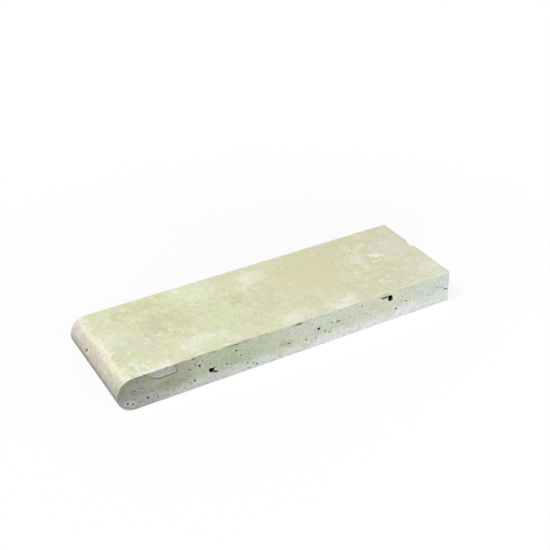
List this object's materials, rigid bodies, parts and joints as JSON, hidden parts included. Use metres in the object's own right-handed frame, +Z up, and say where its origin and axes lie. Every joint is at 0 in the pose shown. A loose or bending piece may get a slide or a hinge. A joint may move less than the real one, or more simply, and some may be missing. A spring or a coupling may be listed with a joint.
{
  "type": "coping stone",
  "caption": "Long flat travertine slab with a full half-round bullnose along its short end, for capping and edging a wall, step or pool.",
  "frame": {"origin": "centre of the bed face, the underside that lies on mortar, measured on the overall box", "axes": "+X along the length from the bullnose to the plain sawn end, +Y across the width from the front joint face to the back one, +Z up from the bed to the top"},
  "size_m": [0.305, 0.098, 0.029],
  "materials": {
    "travertine": "honed and filled top, sawn joint faces with open natural voids"
  },
  "bodies": {
    "root": {"coping_stone": "travertine"}
  },
  "joints": []
}
